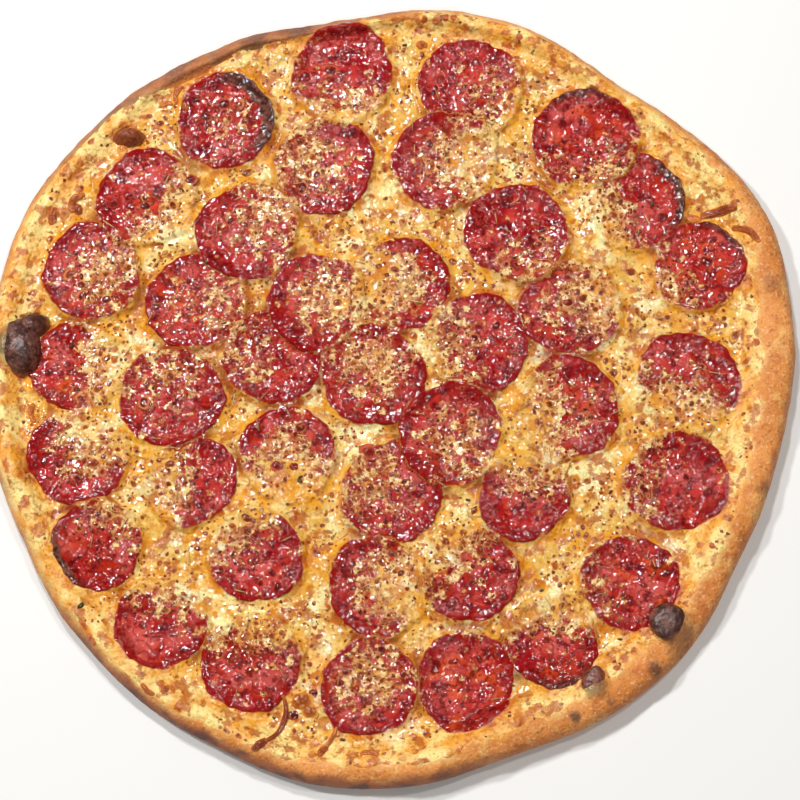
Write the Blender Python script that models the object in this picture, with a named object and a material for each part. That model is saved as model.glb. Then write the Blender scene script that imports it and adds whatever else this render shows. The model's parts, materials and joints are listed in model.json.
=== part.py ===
# A round pepperoni pizza, 333 mm across: a baked crust with an uneven rim, a
# layer of melted cheese seated in it, and forty draped slices of pepperoni.
# Row frame: +X right, +Y away from the eater, +Z up, origin under the middle.

import math

import bmesh
import bpy
from mathutils import Vector, geometry, noise
from mathutils.bvhtree import BVHTree

for old in list(bpy.data.objects):
    bpy.data.objects.remove(old, do_unlink=True)

MM = 0.001

# ---- the crust, in millimetres -------------------------------------------
MEAN_RADIUS = 164.7
# (waves per turn, height, phase in degrees) of the hand-stretched outline
OUTLINE_WAVES = (
    (1, 2.95, 109),
    (2, 1.35, 0),
    (3, 2.95, 78),
    (5, 1.2, 88),
    (6, 1.55, 110),
    (7, 0.75, 122),
    (8, 0.65, -90),
    (9, 0.7, -79),
    (17, 0.35, 40),
)
RIM_WIDTH = 15.0
RIM_WIDTH_WAVES = ((1, 4.75, -55), (2, 2.2, -27), (5, 0.9, 20), (11, 0.6, 70))
RIM_HEIGHT = 13.0
RIM_HEIGHT_WAVES = ((1, 1.2, -50), (4, 0.7, 30), (7, 0.6, 200), (13, 0.4, 10))
BASE_THICK = 3.0
CRUST_STEPS = 120
# Across the rim from the table up and over to the seat of the cheese:
# (millimetres in from the edge, share of the rim's width, share of its height)
RIM_PROFILE = (
    (7.0, 0.0, 0.0),
    (2.6, 0.0, 0.07),
    (0.5, 0.0, 0.25),
    (0.0, 0.0, 0.47),
    (0.9, 0.0, 0.70),
    (3.2, 0.0, 0.90),
    (3.0, 0.22, 1.00),
    (1.5, 0.52, 0.97),
    (0.0, 0.80, 0.83),
    (0.0, 1.00, 0.66),
    (2.5, 1.00, 0.44),
)
# Dough bubbles blown up in the oven: x, y, radius, height
BUBBLES = (
    (-151.5, 18.0, 12.5, 5.5),
    (113.5, -100.0, 8.5, 4.4),
    (81.5, -124.0, 7.0, 2.6),
    (-110.0, 109.5, 7.5, 2.4),
    (-35.0, -131.0, 11.0, 2.2),
    (107.0, -118.0, 6.5, 1.2),
    (-152.5, -34.5, 9.0, 1.5),
    (157.0, 40.0, 9.0, 1.2),
    (60.0, 146.0, 12.0, 1.3),
    (-62.0, 143.0, 11.0, 1.4),
)

# ---- the cheese ----------------------------------------------------------
GAP = 0.3
CHEESE_EDGE = 1.0
CHEESE_TOP = 7.2
CHEESE_CELL = 6.6
CHEESE_RELIEF = 1.3

# ---- the pepperoni -------------------------------------------------------
SLICE_THICK = 1.5
SLICE_STEPS = 20
# x, y, diameter, cup of the edge, compass side of the raised edge in degrees
# and its extra lift, in the order in which the slices were laid
SLICES = (
    (-47.4, 12.1, 39.9, 1.0, 230, 0.6),
    (34.6, 128.9, 43.4, 1.2, 80, 0.8),
    (102.3, 77.0, 41.3, 1.4, 10, 1.6),
    (2.0, -45.1, 41.4, 1.2, 330, 0.8),
    (-80.8, -39.3, 37.5, 0.8, 0, 0.4),
    (-80.2, 36.0, 40.7, 1.0, 180, 0.6),
    (5.8, 43.2, 39.7, 0.8, 0, 0.5),
    (-4.0, -83.5, 40.8, 0.9, 180, 0.6),
    (-123.5, 49.6, 41.4, 1.2, 170, 1.0),
    (-26.5, 95.1, 41.8, 1.0, 0, 0.9),
    (127.9, 48.9, 37.4, 1.5, 60, 1.8),
    (75.3, 31.5, 41.1, 0.8, 0, 0.7),
    (-127.0, -28.5, 40.7, 1.2, 200, 1.1),
    (-6.2, 3.6, 42.5, 1.0, 300, 0.7),
    (37.4, 17.1, 41.4, 1.0, 30, 0.8),
    (-30.3, 35.9, 40.5, 1.2, 180, 1.2),
    (-101.7, 81.7, 41.8, 1.4, 120, 1.2),
    (-58.9, 66.6, 41.9, 1.1, 190, 0.8),
    (-89.7, -4.4, 42.2, 1.0, 150, 0.7),
    (-129.4, 8.8, 37.5, 1.4, 180, 1.3),
    (-117.7, -65.5, 36.5, 1.6, 215, 1.8),
    (-69.4, 115.4, 41.4, 1.8, 40, 2.0),
    (-19.1, 135.7, 42.8, 1.1, 100, 0.7),
    (23.4, 97.0, 42.7, 1.2, 110, 1.0),
    (82.1, 105.0, 43.4, 1.4, 95, 1.6),
    (53.6, 64.6, 42.4, 1.3, 180, 0.8),
    (122.4, 0.0, 41.7, 1.3, 0, 1.2),
    (73.4, -10.8, 42.1, 1.0, 60, 0.8),
    (25.7, -20.8, 42.1, 1.2, 100, 0.8),
    (54.6, -47.6, 36.3, 0.9, 180, 0.7),
    (116.7, -42.0, 41.5, 1.4, 270, 1.4),
    (97.2, -82.6, 38.6, 1.1, 300, 0.6),
    (32.1, -78.5, 39.6, 1.1, 330, 0.9),
    (65.8, -106.6, 36.7, 1.7, 270, 1.9),
    (30.6, -121.6, 39.4, 1.3, 200, 1.0),
    (-7.6, -124.5, 38.6, 1.8, 0, 1.2),
    (-54.4, -114.3, 39.3, 1.2, 0, 0.9),
    (-91.7, -97.9, 36.8, 1.2, 250, 1.0),
    (-53.4, -70.9, 38.3, 0.9, 300, 0.7),
    (-40.8, -28.5, 39.2, 0.9, 90, 0.6),
)


# ---- shapes --------------------------------------------------------------
def waves(table, turn):
    """The sum of the table's waves at this angle, in millimetres."""
    return sum(high * math.cos(count * turn - math.radians(lag)) for count, high, lag in table)


def lumps(x, y, size, seed):
    """Smooth lumps from -1 to 1 over a plane, size millimetres apart."""
    return noise.noise(Vector((x / size, y / size, seed)), noise_basis="PERLIN_ORIGINAL")


def bubble_lift(x, y):
    """How far the blown bubbles raise the dough at x, y."""
    lift = 0.0
    for bx, by, radius, high in BUBBLES:
        reach = math.hypot(x - bx, y - by) / radius
        if reach < 1.0:
            lift += high * math.cos(reach * math.pi / 2) ** 0.8
    return lift


def ring(step, inset, share, high):
    """One point of the rim's profile at this step round the crust."""
    turn = 2 * math.pi * step / CRUST_STEPS
    width = RIM_WIDTH + waves(RIM_WIDTH_WAVES, turn)
    top = RIM_HEIGHT + waves(RIM_HEIGHT_WAVES, turn)
    radius = MEAN_RADIUS + waves(OUTLINE_WAVES, turn) - inset - share * width
    x = radius * math.cos(turn)
    y = radius * math.sin(turn)
    z = top * high
    if high > 0.6:
        z += (bubble_lift(x, y) + 0.5 * lumps(x, y, 9.0, 3.0)) * min(1.0, (high - 0.6) / 0.2)
    return x, y, z


def new_object(name, mesh_shape, colour, roughness):
    """Puts a finished bmesh into the scene as a named solid of its own colour."""
    bmesh.ops.recalc_face_normals(mesh_shape, faces=mesh_shape.faces)
    bmesh.ops.scale(mesh_shape, vec=(MM, MM, MM), verts=mesh_shape.verts)
    mesh = bpy.data.meshes.new(name)
    mesh_shape.to_mesh(mesh)
    mesh_shape.free()
    mesh.shade_smooth()
    mesh.set_sharp_from_angle(angle=math.radians(50))
    material = bpy.data.materials.new(name)
    material.use_nodes = True
    shader = material.node_tree.nodes["Principled BSDF"]
    shader.inputs["Base Color"].default_value = (*colour, 1.0)
    shader.inputs["Roughness"].default_value = roughness
    shader.inputs["Metallic"].default_value = 0.0
    mesh.materials.append(material)
    thing = bpy.data.objects.new(name, mesh)
    bpy.context.scene.collection.objects.link(thing)
    return thing


def bridge(shape, outer, inner):
    """Joins two rings of the same count with quads."""
    count = len(outer)
    for i in range(count):
        j = (i + 1) % count
        shape.faces.new((outer[i], outer[j], inner[j], inner[i]))


# ---- crust: the profile carried round, closed by the flat bottom and seat ----
crust = bmesh.new()
rings = [
    [crust.verts.new(ring(i, *point)) for i in range(CRUST_STEPS)] for point in RIM_PROFILE
]
seat = []
for vertex in rings[-1]:
    seat.append(crust.verts.new((vertex.co.x * 0.965, vertex.co.y * 0.965, BASE_THICK)))
rings.append(seat)
for outer, inner in zip(rings, rings[1:]):
    bridge(crust, outer, inner)
crust.faces.new(rings[0])
crust.faces.new(seat)
edge_line = [vertex.co.copy() for vertex in rings[-3]]
slope_line = [vertex.co.copy() for vertex in rings[-2]]
seat_line = [vertex.co.copy() for vertex in seat]
new_object("crust", crust, (0.72, 0.42, 0.17), 0.7)


# ---- cheese: seated on the crust with a lumpy top ----------------------------
def cheese_top(x, y):
    """Height of the melted cheese above the table."""
    lump = 0.75 * lumps(x, y, 24.0, 7.0) + 0.45 * lumps(x, y, 12.0, 19.0)
    return CHEESE_TOP + CHEESE_RELIEF * lump + 0.8 * bubble_lift(x, y)


def inside(x, y, line, margin):
    """True if x, y is inside the closed line by at least the margin."""
    turn = math.atan2(y, x) % (2 * math.pi)
    place = turn / (2 * math.pi) * len(line)
    low = int(place) % len(line)
    share = place - int(place)
    near = line[low].to_2d().length * (1 - share)
    near += line[(low + 1) % len(line)].to_2d().length * share
    return math.hypot(x, y) < near - margin


cheese = bmesh.new()
top_edge = [cheese.verts.new(p + Vector((0, 0, GAP + CHEESE_EDGE))) for p in edge_line]
low_edge = [cheese.verts.new(p + Vector((0, 0, GAP))) for p in edge_line]
low_slope = [cheese.verts.new(p + Vector((0, 0, GAP))) for p in slope_line]
low_seat = [cheese.verts.new(p + Vector((0, 0, GAP))) for p in seat_line]
bridge(cheese, top_edge, low_edge)
bridge(cheese, low_edge, low_slope)
bridge(cheese, low_slope, low_seat)
cheese.faces.new(low_seat)

spots = [p.to_2d() for p in edge_line]
row_step = CHEESE_CELL * math.sqrt(0.75)
rows = int(2 * MEAN_RADIUS / row_step)
for row in range(-rows // 2, rows // 2 + 1):
    y = row * row_step
    for column in range(-rows // 2, rows // 2 + 1):
        x = (column + 0.5 * (row % 2)) * CHEESE_CELL
        if inside(x, y, edge_line, 0.55 * CHEESE_CELL):
            spots.append(Vector((x, y)))
count = len(edge_line)
border = [(i, (i + 1) % count) for i in range(count)]
flat = geometry.delaunay_2d_cdt(spots, border, [], 1, 1e-6)
top = list(top_edge)
for i, spot in enumerate(flat[0]):
    if i >= count:
        turn = math.atan2(spot.y, spot.x) % (2 * math.pi)
        edge = edge_line[round(turn / (2 * math.pi) * count) % count]
        share = min(1.0, (edge.to_2d().length - spot.length) / 14.0)
        rise = share * share * (3 - 2 * share)
        high = (edge.z + GAP + CHEESE_EDGE) * (1 - rise) + cheese_top(spot.x, spot.y) * rise
        top.append(cheese.verts.new((spot.x, spot.y, high)))
for triangle in flat[2]:
    cheese.faces.new([top[i] for i in triangle])
bmesh.ops.recalc_face_normals(cheese, faces=cheese.faces)

support = bmesh.new()
support_verts = {}


def add_support(shape, only_up):
    """Adds a shape's faces to what the next slice lies on."""
    copies = {v: support.verts.new(v.co) for v in shape.verts}
    for face in shape.faces:
        if not only_up or face.normal.z > 0.05:
            support.faces.new([copies[v] for v in face.verts])


add_support(cheese, True)
new_object("cheese", cheese, (0.83, 0.60, 0.22), 0.45)
rim_shape = bmesh.new()
rim_shape.from_mesh(bpy.data.objects["crust"].data)
bmesh.ops.scale(rim_shape, vec=(1 / MM, 1 / MM, 1 / MM), verts=rim_shape.verts)
rim_shape.normal_update()
add_support(rim_shape, True)
rim_shape.free()


# ---- pepperoni: each slice is draped over what lies under it -----------------
def slice_radius(diameter, turn, seed):
    """The slightly uneven edge of one slice."""
    wobble = 0.022 * math.cos(2 * turn + seed) + 0.016 * math.cos(3 * turn + 2.3 * seed)
    return 0.5 * diameter * (1 + wobble)


def drape(points, triangles, tree):
    """Raises the points of a slice's underside until it clears what it lies on."""
    checks = []
    for a, b, c in triangles:
        for i in range(11):
            for j in range(11 - i):
                checks.append((a, b, c, i / 10, j / 10))
    heights = []
    for a, b, c, u, v in checks:
        spot = points[a] * (1 - u - v) + points[b] * u + points[c] * v
        hit = tree.ray_cast(Vector((spot.x, spot.y, 60.0)), Vector((0, 0, -1)))[0]
        heights.append(hit.z + GAP if hit else 0.0)
    for _ in range(60):
        worst = 0.0
        for (a, b, c, u, v), need in zip(checks, heights):
            have = points[a].z * (1 - u - v) + points[b].z * u + points[c].z * v
            short = need - have
            if short > 0.0:
                worst = max(worst, short)
                norm = (1 - u - v) ** 2 + u * u + v * v
                points[a].z += short * (1 - u - v) / norm
                points[b].z += short * u / norm
                points[c].z += short * v / norm
        if worst < 0.002:
            break


def slice_triangles(steps):
    """Fan in the middle, then a band to the edge: 0 is the centre."""
    faces = []
    for i in range(steps):
        j = (i + 1) % steps
        faces.append((0, 1 + i, 1 + j))
        faces.append((1 + i, 1 + steps + i, 1 + steps + j))
        faces.append((1 + i, 1 + steps + j, 1 + j))
    return faces


FACES = slice_triangles(SLICE_STEPS)
for number, (cx, cy, diameter, cup, side, lift) in enumerate(SLICES, 1):
    support.normal_update()
    tree = BVHTree.FromBMesh(support)
    low = [Vector((cx, cy, 0.0))]
    for share in (0.58, 1.0):
        for i in range(SLICE_STEPS):
            turn = 2 * math.pi * i / SLICE_STEPS
            radius = share * slice_radius(diameter, turn, number)
            low.append(Vector((cx + radius * math.cos(turn), cy + radius * math.sin(turn), 0.0)))
    for point in low:
        hit = tree.ray_cast(Vector((point.x, point.y, 60.0)), Vector((0, 0, -1)))[0]
        point.z = hit.z + GAP
    for i in range(SLICE_STEPS):
        turn = 2 * math.pi * i / SLICE_STEPS
        near = max(0.0, math.cos(turn - math.radians(side)))
        low[1 + SLICE_STEPS + i].z += 0.45 * cup + 0.6 * lift * near * near
    drape(low, FACES, tree)
    piece = bmesh.new()
    bottom = [piece.verts.new(p) for p in low]
    upper = []
    for i, p in enumerate(low):
        thick = SLICE_THICK
        drawn_in = 1.0
        if i > SLICE_STEPS:
            thick = 1.15 * SLICE_THICK
            drawn_in = 0.985
        x = cx + (p.x - cx) * drawn_in
        y = cy + (p.y - cy) * drawn_in
        upper.append(piece.verts.new((x, y, p.z + thick)))
    for a, b, c in FACES:
        piece.faces.new((upper[a], upper[b], upper[c]))
        piece.faces.new((bottom[c], bottom[b], bottom[a]))
    bridge(piece, bottom[1 + SLICE_STEPS:], upper[1 + SLICE_STEPS:])
    bmesh.ops.recalc_face_normals(piece, faces=piece.faces)
    add_support(piece, False)
    new_object("pepperoni_%02d" % number, piece, (0.42, 0.05, 0.045), 0.4)
support.free()
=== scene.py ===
# %% [markdown] # A pepperoni pizza, straight from the oven This lesson dresses a measured pizza. Each cell
# then makes a finished piece that stands where its plain solid stood.

import json
import math
from types import SimpleNamespace

import bmesh
import bpy
import numpy as np
from mathutils import Matrix, Vector, noise
from mathutils.bvhtree import BVHTree
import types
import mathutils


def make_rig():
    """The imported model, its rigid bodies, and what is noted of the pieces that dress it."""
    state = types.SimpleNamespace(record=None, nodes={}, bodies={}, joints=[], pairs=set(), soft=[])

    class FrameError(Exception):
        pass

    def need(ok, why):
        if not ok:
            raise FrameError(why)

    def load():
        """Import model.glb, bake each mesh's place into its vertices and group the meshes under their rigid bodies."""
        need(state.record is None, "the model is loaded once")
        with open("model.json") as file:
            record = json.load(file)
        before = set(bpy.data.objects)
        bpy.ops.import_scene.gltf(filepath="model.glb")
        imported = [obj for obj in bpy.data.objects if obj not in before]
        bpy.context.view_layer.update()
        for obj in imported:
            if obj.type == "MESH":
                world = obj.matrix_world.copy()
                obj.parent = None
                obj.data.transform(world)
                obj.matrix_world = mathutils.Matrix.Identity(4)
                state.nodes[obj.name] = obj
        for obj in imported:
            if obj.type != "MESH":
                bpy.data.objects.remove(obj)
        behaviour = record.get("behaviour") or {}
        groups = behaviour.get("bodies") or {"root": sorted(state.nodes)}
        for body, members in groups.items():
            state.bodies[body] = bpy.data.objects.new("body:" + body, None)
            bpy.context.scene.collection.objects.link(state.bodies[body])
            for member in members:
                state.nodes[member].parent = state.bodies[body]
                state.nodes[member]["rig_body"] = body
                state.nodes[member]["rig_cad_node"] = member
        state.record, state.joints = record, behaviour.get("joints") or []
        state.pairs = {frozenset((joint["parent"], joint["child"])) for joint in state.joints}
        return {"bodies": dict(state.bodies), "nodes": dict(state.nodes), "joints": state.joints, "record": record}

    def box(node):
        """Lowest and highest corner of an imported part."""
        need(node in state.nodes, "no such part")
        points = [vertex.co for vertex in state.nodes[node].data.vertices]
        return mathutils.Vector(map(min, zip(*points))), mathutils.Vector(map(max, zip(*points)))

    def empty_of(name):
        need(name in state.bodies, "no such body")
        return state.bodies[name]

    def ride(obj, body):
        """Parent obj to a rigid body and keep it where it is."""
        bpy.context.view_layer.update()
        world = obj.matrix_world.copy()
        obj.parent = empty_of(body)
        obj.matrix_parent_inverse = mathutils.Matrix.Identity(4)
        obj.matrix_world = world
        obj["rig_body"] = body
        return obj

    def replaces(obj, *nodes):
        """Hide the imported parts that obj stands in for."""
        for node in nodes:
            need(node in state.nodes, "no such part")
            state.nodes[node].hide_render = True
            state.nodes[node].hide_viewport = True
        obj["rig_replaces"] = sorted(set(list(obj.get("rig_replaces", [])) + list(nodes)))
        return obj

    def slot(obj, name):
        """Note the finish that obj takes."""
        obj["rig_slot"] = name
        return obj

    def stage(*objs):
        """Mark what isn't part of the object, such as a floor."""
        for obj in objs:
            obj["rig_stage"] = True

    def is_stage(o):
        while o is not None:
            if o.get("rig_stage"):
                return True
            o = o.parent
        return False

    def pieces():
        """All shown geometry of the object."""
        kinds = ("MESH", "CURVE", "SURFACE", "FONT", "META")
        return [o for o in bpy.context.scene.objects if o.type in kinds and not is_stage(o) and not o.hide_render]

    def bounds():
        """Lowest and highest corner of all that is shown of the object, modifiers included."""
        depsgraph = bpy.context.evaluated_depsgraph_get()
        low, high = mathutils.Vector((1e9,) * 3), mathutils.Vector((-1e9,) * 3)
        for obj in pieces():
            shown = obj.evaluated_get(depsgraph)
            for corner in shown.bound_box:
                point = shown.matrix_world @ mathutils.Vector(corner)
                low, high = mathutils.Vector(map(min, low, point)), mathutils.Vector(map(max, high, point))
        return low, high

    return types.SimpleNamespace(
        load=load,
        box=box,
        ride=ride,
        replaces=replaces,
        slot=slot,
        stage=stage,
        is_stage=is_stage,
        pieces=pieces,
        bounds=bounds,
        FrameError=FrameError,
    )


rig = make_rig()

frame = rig.load()
cad_box = [list(map(float, corner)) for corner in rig.bounds()]
MM = 0.001
print("plain solids:", len(frame["nodes"]), "box", cad_box)

# %% [markdown]
# ## Tools for soft shapes
# Nothing on a pizza is straight, so every surface is a smooth base plus hills of a few sizes. The hills are
# gradient noise: random slopes on a grid of points, blended so that no grid shows. All lengths are in
# millimetres until a mesh is finished.

# %% Hills, steps and soft joins
CELLS = 64
START_U, START_V = 500.37, 500.71


def hills(x, y, size, seed):
    """Smooth hills of about -1 to 1, size millimetres apart."""
    slopes = np.random.default_rng(seed).uniform(0, 2 * np.pi, (CELLS, CELLS))
    u = x / size + START_U
    v = y / size + START_V
    i = np.floor(u).astype(int)
    j = np.floor(v).astype(int)
    u = u - i
    v = v - j
    ease_u = u * u * u * (u * (6 * u - 15) + 10)
    ease_v = v * v * v * (v * (6 * v - 15) + 10)
    total = 0.0
    for a, part_u in ((0, 1 - ease_u), (1, ease_u)):
        for b, part_v in ((0, 1 - ease_v), (1, ease_v)):
            slope = slopes[(i + a) % CELLS, (j + b) % CELLS]
            total = total + (np.cos(slope) * (u - a) + np.sin(slope) * (v - b)) * part_u * part_v
    return 1.5 * total


def step(low, high, value):
    """0 below low, 1 above high, and a soft rise between them."""
    t = np.clip((value - low) / (high - low), 0, 1)
    return t * t * (3 - 2 * t)


def soft_max(a, b, width):
    """The higher of two surfaces, with their crossing rounded."""
    share = np.clip(0.5 + 0.5 * (a - b) / width, 0, 1)
    return b + (a - b) * share + width * share * (1 - share)


def waves(table, turn):
    """The sum of (waves per turn, height, phase in degrees) at an angle."""
    return sum(high * np.cos(count * turn - math.radians(lag)) for count, high, lag in table)


def solid_lumps(points, size, seed):
    """Lumps in space for surfaces that face every way."""
    offset = Vector((seed, 2.7 * seed, -1.3 * seed))
    return np.array([noise.noise(Vector(p) / size + offset) for p in points])


# %% Move vertices and write what the materials read
def read_points(mesh):
    spots = np.empty(len(mesh.vertices) * 3)
    mesh.vertices.foreach_get("co", spots)
    return spots.reshape(-1, 3)


def write_points(mesh, spots):
    mesh.vertices.foreach_set("co", (spots * MM).ravel())
    mesh.update()


def as_mesh(shape, name):
    mesh = bpy.data.meshes.new(name)
    shape.to_mesh(mesh)
    shape.free()
    return mesh


def face_outward(mesh):
    shape = bmesh.new()
    shape.from_mesh(mesh)
    bmesh.ops.recalc_face_normals(shape, faces=shape.faces)
    shape.to_mesh(mesh)
    shape.free()


def spun(profile, steps, layer=None):
    """A closed shape of revolution from (radius, height) points; the layer stores how far along each lies."""
    shape = bmesh.new()
    along = shape.verts.layers.float.new(layer) if layer else None
    line = [shape.verts.new((radius, 0, high)) for radius, high in profile]
    if layer:
        for k, point in enumerate(line):
            point[along] = k / (len(line) - 1)
    edges = [shape.edges.new(pair) for pair in zip(line, line[1:])]
    round_about = dict(cent=(0, 0, 0), axis=(0, 0, 1), angle=2 * math.pi, steps=steps, use_merge=True)
    bmesh.ops.spin(shape, geom=line + edges, **round_about)
    bmesh.ops.remove_doubles(shape, verts=shape.verts, dist=0.001)
    open_edges = [e for e in shape.edges if e.is_boundary]
    if open_edges:
        bmesh.ops.holes_fill(shape, edges=open_edges, sides=0)
    bmesh.ops.recalc_face_normals(shape, faces=shape.faces)
    return shape


# A height above everything, and the height that stands for no surface at all
SKY = 60.0
NOTHING = -9.0


def look_down(tree, x, y):
    """The height and slope of a surface seen from above at a point."""
    spot, slope = tree.ray_cast(Vector((x, y, SKY)), Vector((0, 0, -1)))[:2]
    return (spot.z, slope) if spot else (NOTHING, Vector((0, 0, 1)))


def paint(mesh, **masks):
    """Stores one number per vertex under each name, for a material to read."""
    for name, values in masks.items():
        layer = mesh.attributes.new(name, "FLOAT", "POINT")
        layer.data.foreach_set("value", np.ascontiguousarray(values, dtype=np.float32))


def finished(name, mesh, node, slot, sharp=None):
    """Puts a mesh in the scene as the piece that stands for a node."""
    mesh.shade_smooth()
    if sharp:
        mesh.set_sharp_from_angle(angle=math.radians(sharp))
    piece = bpy.data.objects.new(name, mesh)
    bpy.context.scene.collection.objects.link(piece)
    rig.ride(piece, "root")
    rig.replaces(piece, node)
    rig.slot(piece, slot)
    return piece


# %% [markdown]
# ## The crust
# A baker stretches the dough by hand, so the outline is a circle with a few slow waves. The rim is one
# profile carried round: a job for spin. Each profile point remembers how far along it lies, so that after the
# spin the rim can be made wider, higher or lower at each angle.

# %% The rim's measures
MEAN_RADIUS = 164.7
OUTLINE_WAVES = (
    (1, 2.95, 109), (2, 1.35, 0), (3, 2.95, 78),
    (5, 1.2, 88), (6, 1.55, 110), (7, 0.75, 122),
    (8, 0.65, -90), (9, 0.7, -79), (17, 0.35, 40),
)
RIM_WIDTH = 15.0
RIM_WIDTH_WAVES = ((1, 4.75, -55), (2, 2.2, -27), (5, 0.9, 20), (11, 0.6, 70))
RIM_HEIGHT = 13.0
RIM_HEIGHT_WAVES = ((1, 1.2, -50), (4, 0.7, 30), (7, 0.6, 200), (13, 0.4, 10))
# (millimetres in from the edge, share of the rim's width, share of its height)
RIM_PROFILE = np.array([
    (16.0, 0.0, 0.0), (7.0, 0.0, 0.0), (2.6, 0.0, 0.07), (0.5, 0.0, 0.25), (0.0, 0.0, 0.47),
    (0.9, 0.0, 0.70), (3.2, 0.0, 0.90), (3.0, 0.22, 1.00), (1.5, 0.52, 0.97), (0.0, 0.80, 0.83),
    (0.0, 1.00, 0.66), (2.5, 1.00, 0.44), (8.0, 1.00, 0.23), (14.0, 1.00, 0.22),
])
# Dough bubbles blown up in the oven: x, y, radius, height
BUBBLES = (
    (-151.5, 18.0, 12.5, 5.5), (113.5, -100.0, 8.5, 4.4), (81.5, -124.0, 7.0, 2.6),
    (-110.0, 109.5, 7.5, 2.4), (-35.0, -131.0, 11.0, 2.2), (107.0, -118.0, 6.5, 1.2),
    (-152.5, -34.5, 9.0, 1.5), (157.0, 40.0, 9.0, 1.2), (60.0, 146.0, 12.0, 1.3),
    (-62.0, 143.0, 11.0, 1.4),
)


def bubble_lift(x, y):
    """How far the blown bubbles raise the dough."""
    lift = np.zeros_like(x)
    for bx, by, radius, high in BUBBLES:
        reach = np.hypot(x - bx, y - by) / radius
        lift += high * np.cos(np.clip(reach, 0, 1) * np.pi / 2) ** 0.8
    return lift


def rim_width(turn):
    return RIM_WIDTH + waves(RIM_WIDTH_WAVES, turn)


def outline(turn):
    return MEAN_RADIUS + waves(OUTLINE_WAVES, turn)


# %% Spin the profile
ROUND = 720
ALONG = 76


def profile_at(t):
    """A smooth curve through the profile's points, t from 0 to 1."""
    last = len(RIM_PROFILE) - 1
    place = np.clip(t * last, 0, last - 1e-9)
    k = place.astype(int)
    f = (place - k)[:, None]
    p0, p1, p2, p3 = (RIM_PROFILE[np.clip(k + d, 0, last)] for d in (-1, 0, 1, 2))
    bend = (2 * p0 - 5 * p1 + 4 * p2 - p3) * f**2 + (3 * p1 - p0 - 3 * p2 + p3) * f**3
    return 0.5 * (2 * p1 + (p2 - p0) * f + bend)


profile = [
    (MEAN_RADIUS - inset - share * RIM_WIDTH, high * RIM_HEIGHT)
    for inset, share, high in profile_at(np.linspace(0, 1, ALONG))
]
crust_mesh = as_mesh(spun(profile, ROUND, "along"), "crust_dough")
print("crust:", ROUND, "steps round,", ALONG, "points along")

# %% Stretch it to the hand-made outline and let it rise
spots = read_points(crust_mesh)
t = np.empty(len(spots))
crust_mesh.attributes["along"].data.foreach_get("value", t)
crust_mesh.attributes.remove(crust_mesh.attributes["along"])
turn = np.arctan2(spots[:, 1], spots[:, 0])
inset, share, high = profile_at(t).T
rise = step(0.15, 0.6, high) * step(0.0, 0.5, t)
radius = outline(turn) - inset - share * rim_width(turn)
x = radius * np.cos(turn)
y = radius * np.sin(turn)
tall = RIM_HEIGHT + waves(RIM_HEIGHT_WAVES, turn)
z = high * tall + bubble_lift(x, y) * step(0.60, 0.80, high)
spots = np.stack([x, y, z], 1)
lump = 0.9 * solid_lumps(spots, 16.0, 3.1) + 0.45 * solid_lumps(spots, 6.5, 8.7)
lump += 0.22 * solid_lumps(spots, 2.8, 5.5)
spots[:, 2] += lump * rise
spots[:, 0] += lump * np.cos(turn) * rise * 0.7
spots[:, 1] += lump * np.sin(turn) * rise * 0.7
spots[:, 2] = np.where(t < 0.14, 0.0, np.maximum(spots[:, 2], 0.0))
crust_spots = spots
faces = [tuple(p.vertices) for p in crust_mesh.polygons if len(p.vertices) < 6]
crust_tree = BVHTree.FromPolygons([Vector(p) for p in spots], faces)
print("crust:", len(spots), "vertices,", round(spots[:, 2].max(), 1), "mm high")


def crust_top(x, y):
    """Height of the dough's surface, or far below where the seat is open."""
    return np.array([look_down(crust_tree, px, py)[0] for px, py in zip(x, y)])


# %% [markdown]
# ## Where the pepperoni lies
# Each slice keeps the place and size of its plain solid. The table says how the cheese ran over it: how much
# pooled in the middle, from which side it flowed, which side burnt, and how much orange fat it holds.

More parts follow.
